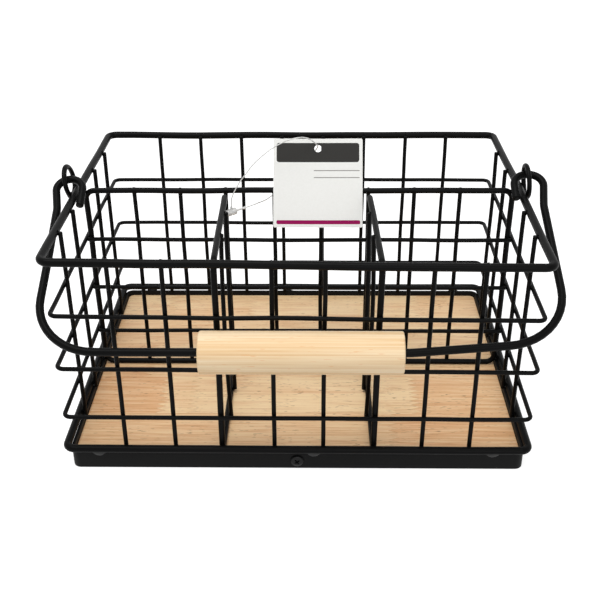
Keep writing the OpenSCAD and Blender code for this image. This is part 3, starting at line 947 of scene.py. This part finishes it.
# What is printed, in millimetres from the card's middle and down from its top edge: left, right,
# top, bottom and the radius of the corners
HEADER = (-25.3, 25.2, 2.6, 14.4, 1.5)
STRIPE = (-25.3, 25.8, 50.1, 52.5, 0.9)
RULES = [(-2.5, 25.4, 19.4, 19.8, 0), (-2.5, 25.4, 23.7, 24.1, 0)]
PRINT_BLUR = 0.00006

bar_middle = Vector((0, long_y, bar_height))
leaning = Matrix.Translation(bar_middle) @ Matrix.Rotation(-CARD_LEAN, 4, "X")
leaning = leaning @ Matrix.Translation((CARD_FROM_MIDDLE, -CARD_OFF_BAR, CARD_FOOT))
hole = Vector((0, 0, CARD_HEIGHT - HOLE_DROP))
edge_points = rounded_outline(CARD_WIDTH / 2, CARD_HEIGHT / 2, CARD_CORNER, 4)
rim = []
for (x, y), (next_x, next_y) in zip(edge_points, edge_points[1:] + edge_points[:1]):
    start = Vector((x, 0, y + CARD_HEIGHT / 2))
    stop = Vector((next_x, 0, next_y + CARD_HEIGHT / 2))
    parts = max(1, math.ceil((stop - start).length / CARD_MESH))
    rim += [start.lerp(stop, part / parts) for part in range(parts)]
card_rings = []
for thickness, shares in [(CARD_THICKNESS, WEB_SHARES), (0, WEB_SHARES[::-1])]:
    for share in shares:
        ring = []
        for point in rim:
            spot = (hole + (point - hole).normalized() * HOLE_R).lerp(point, share)
            curl = CARD_CURL * (2 * spot.x / CARD_WIDTH) ** 2 * (1 - 0.5 * spot.z / CARD_HEIGHT)
            spot.y = -thickness - curl
            ring.append(leaning @ spot)
        card_rings.append(ring)

printed = Finish("printed_card", Roughness=0.42, Specular_IOR_Level=0.12)
place = printed.place()
from_middle = printed.axes(place)[0] - CARD_FROM_MIDDLE
up_card = Vector((0, math.sin(CARD_LEAN), math.cos(CARD_LEAN)))
height = printed.node("ShaderNodeVectorMath", {"operation": "DOT_PRODUCT"}, {0: place, 1: up_card}, 1)
below_top = (bar_middle.dot(up_card) + CARD_FOOT + CARD_HEIGHT) - height


def printed_bar(left, right, top, bottom, corner):
    """1 inside a printed rectangle with round corners, in millimetres on the card, and 0 outside."""
    middle_x = (left + right) / 2000
    middle_down = (top + bottom) / 2000
    corner = corner / 1000
    over_x = abs(from_middle - middle_x) - ((right - left) / 2000 - corner)
    over_down = abs(below_top - middle_down) - ((bottom - top) / 2000 - corner)
    past_x = over_x.maths("MAXIMUM", over_x, 0.0)
    past_down = over_down.maths("MAXIMUM", over_down, 0.0)
    squares = past_x * past_x + past_down * past_down
    return 1 - squares.maths("SQRT", squares).between(corner, corner + PRINT_BLUR)


fibres = printed.noise(printed.stretched(place, (700, 700, 700)), 3.0)
paper = printed.mix(fibres, colour(243, 243, 240), colour(236, 236, 232))
ink = printed.mix(printed_bar(*HEADER), paper, colour(50, 49, 47))
for rule in RULES:
    ink = printed.mix(printed_bar(*rule), ink, colour(118, 116, 110))
ink = printed.mix(printed_bar(*STRIPE), ink, colour(146, 4, 80))
printed.set(Base_Color=ink, Roughness=0.4 + 0.1 * fibres)
printed.set(Normal=printed.bump(fibres, 0.1, 0.00005))
plain = Finish("plain_card", Roughness=0.6)
fibres = plain.noise(plain.stretched(plain.place(), (500, 500, 500)), 4.0)
plain.set(Base_Color=plain.mix(fibres, colour(240, 239, 235), colour(226, 225, 220)))
plain.set(Normal=plain.bump(fibres, 0.15, 0.00005))
card = piece("card_tag", skin(card_rings, closed=True), printed, "basket", ["swing_tag"])
card.data.materials.append(plain.material)
front_faces = len(rim) * (len(WEB_SHARES) - 1)
for face in card.data.polygons[front_faces:]:
    face.material_index = 1


# ---- Tag lock and loop -----------------------------------------------------------------------
# A moulded bead of clear nylon with a neck on top, and a barbed tail that has been pushed
# through it. The loop is the thin thread from the neck, through the card's hole and back.
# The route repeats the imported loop's points, in metres from the middle of the divider's top bar.
ROUTE = [
    (-0.0407, -0.0093, -0.0048), (-0.0405, -0.0089, -0.0020), (-0.0394, -0.0081, 0.0011),
    (-0.0375, -0.0072, 0.0046), (-0.0348, -0.0063, 0.0089), (-0.0316, -0.0052, 0.0128),
    (-0.0276, -0.0038, 0.0178), (-0.0217, -0.0022, 0.0231), (-0.0156, -0.0002, 0.0273),
    (-0.0095, 0.0018, 0.0302), (-0.0037, 0.0038, 0.0318), (0.0012, 0.0058, 0.0320),
    (0.0052, 0.0077, 0.0310), (0.0084, 0.0096, 0.0286), (0.0109, 0.0112, 0.0259),
    (0.0119, 0.0132, 0.0238), (0.0104, 0.0144, 0.0206), (0.0060, 0.0136, 0.0154),
    (0.0000, 0.0118, 0.0090), (-0.0064, 0.0096, 0.0030), (-0.0123, 0.0076, -0.0028),
    (-0.0166, 0.0064, -0.0060), (-0.0204, 0.0039, -0.0078), (-0.0247, 0.0008, -0.0085),
    (-0.0287, -0.0020, -0.0090), (-0.0326, -0.0044, -0.0094),
]
THREAD_R = 0.00035
THREAD_STEPS = 5
THREAD_END_EDGE = 0.00005
BEAD_R = 0.0021
BEAD_HALF = 0.0032
BEAD_EDGE = 0.0006
NECK_R = 0.0007
NECK_L = 0.0013
TAIL_R = 0.0006
TAIL_L = 0.0044
BARB_R = 0.00095
BARB_L = 0.002

route = [bar_middle + Vector(point) for point in ROUTE]
lock_axis = (route[-2] - route[-1]).normalized()
lock_middle = route[-1] - lock_axis * (BEAD_HALF + TAIL_L + BARB_L)
neck_top = lock_middle + Vector((0, 0, BEAD_R + NECK_L))
route.insert(0, neck_top)
thread = []
for index in range(len(route) - 1):
    before = route[max(index - 1, 0)]
    here = route[index]
    there = route[index + 1]
    beyond = route[min(index + 2, len(route) - 1)]
    for step in range(THREAD_STEPS):
        t = step / THREAD_STEPS
        thread.append(0.5 * (2 * here + (there - before) * t
                             + (2 * before - 5 * here + 4 * there - beyond) * t * t
                             + (3 * here - before - 3 * there + beyond) * t * t * t))
thread.append(route[-1])

nylon = Finish("clear_nylon", Roughness=0.35, Transmission_Weight=0.25, IOR=1.53)
cloud = nylon.noise(nylon.stretched(nylon.place(), (400, 400, 400)), 2.0)
nylon.set(Base_Color=nylon.mix(cloud, colour(222, 222, 220), colour(238, 238, 236)))

bead = quarter_round(BEAD_HALF - BEAD_EDGE, BEAD_R - BEAD_EDGE, BEAD_EDGE, 0)
bead += quarter_round(BEAD_EDGE - BEAD_HALF, BEAD_R - BEAD_EDGE, BEAD_EDGE, 90)
tail = [(BEAD_HALF - BEAD_EDGE, TAIL_R), (BEAD_HALF + TAIL_L, TAIL_R),
        (BEAD_HALF + TAIL_L + BARB_L, BARB_R)]
lying = lock_axis.to_track_quat("X", "Z").to_matrix().to_4x4()
upright = Matrix.Rotation(-math.radians(90), 4, "Y")
neck = turned([(0, NECK_R), (BEAD_R + NECK_L, NECK_R)], 16)
lock_shell = merged(placed(turned(bead, 28), Matrix.Translation(lock_middle) @ lying),
                    placed(turned(tail, 16), Matrix.Translation(lock_middle) @ lying),
                    placed(neck, Matrix.Translation(lock_middle) @ upright))
lock = piece("bead_lock", lock_shell, nylon, "basket", ["tag_lock"])
loop = piece("nylon_loop", swept(thread, THREAD_R, sides=12, edge=THREAD_END_EDGE), nylon,
             "basket", ["tag_loop"])
thread_length = sum((after - before).length for before, after in zip(thread, thread[1:]))


# ---- Stage and light -------------------------------------------------------------------------
# A white floor that runs out of the picture, a large soft lamp overhead and a weaker one in
# front. To the eye, and in what mirrors or lets it through, the room is plain white.
FLOOR_HALF = 6
FLOOR_GLOW = 0.78
ROOM_LIGHT = 0.42
# Each lamp's name, place, width and power
LAMPS = [("overhead", (-0.2, -0.25, 1.45), 1.0, 13.5), ("front", (0.3, -1.6, 0.75), 0.9, 5.5)]


def seen(mixer):
    """1 for a ray from the camera, or from a surface that mirrors or lets through, and 0 for light."""
    rays = [mixer.node("ShaderNodeLightPath", {}, {}, f"Is {kind} Ray")
            for kind in ("Camera", "Glossy", "Transmission")]
    return rays[0] + rays[1] + rays[2]


floor = Finish("white_floor", Roughness=0.9, Specular_IOR_Level=0.0, Emission_Strength=1.0)
floor.set(Base_Color=colour(206, 206, 206))
glow = (FLOOR_GLOW, FLOOR_GLOW, FLOOR_GLOW, 1)
floor.set(Emission_Color=floor.mix(seen(floor), (0, 0, 0, 1), glow))
mesh = bpy.data.meshes.new("floor")
corners = [(-FLOOR_HALF, -FLOOR_HALF, 0), (FLOOR_HALF, -FLOOR_HALF, 0), (FLOOR_HALF, FLOOR_HALF, 0),
           (-FLOOR_HALF, FLOOR_HALF, 0)]
mesh.from_pydata(corners, [], [(0, 1, 2, 3)])
mesh.materials.append(floor.material)
ground = bpy.data.objects.new("floor", mesh)
bpy.context.scene.collection.objects.link(ground)

world = bpy.data.worlds.new("white_room")
world.use_nodes = True
bpy.context.scene.world = world
room = Mixer(world.node_tree)
background = world.node_tree.nodes["Background"]
room.feed(background.inputs["Color"], (1, 1, 1, 1))
room.feed(background.inputs["Strength"], ROOM_LIGHT + (1 - ROOM_LIGHT) * seen(room))

for name, at, size, power in LAMPS:
    lamp = bpy.data.lights.new(name, "AREA")
    lamp.size = size
    lamp.energy = power
    lit = bpy.data.objects.new(name, lamp)
    lit.location = at
    lit.rotation_euler = Vector(at).to_track_quat("Z", "Y").to_euler()
    bpy.context.scene.collection.objects.link(lit)
bpy.context.scene.view_settings.view_transform = "Standard"
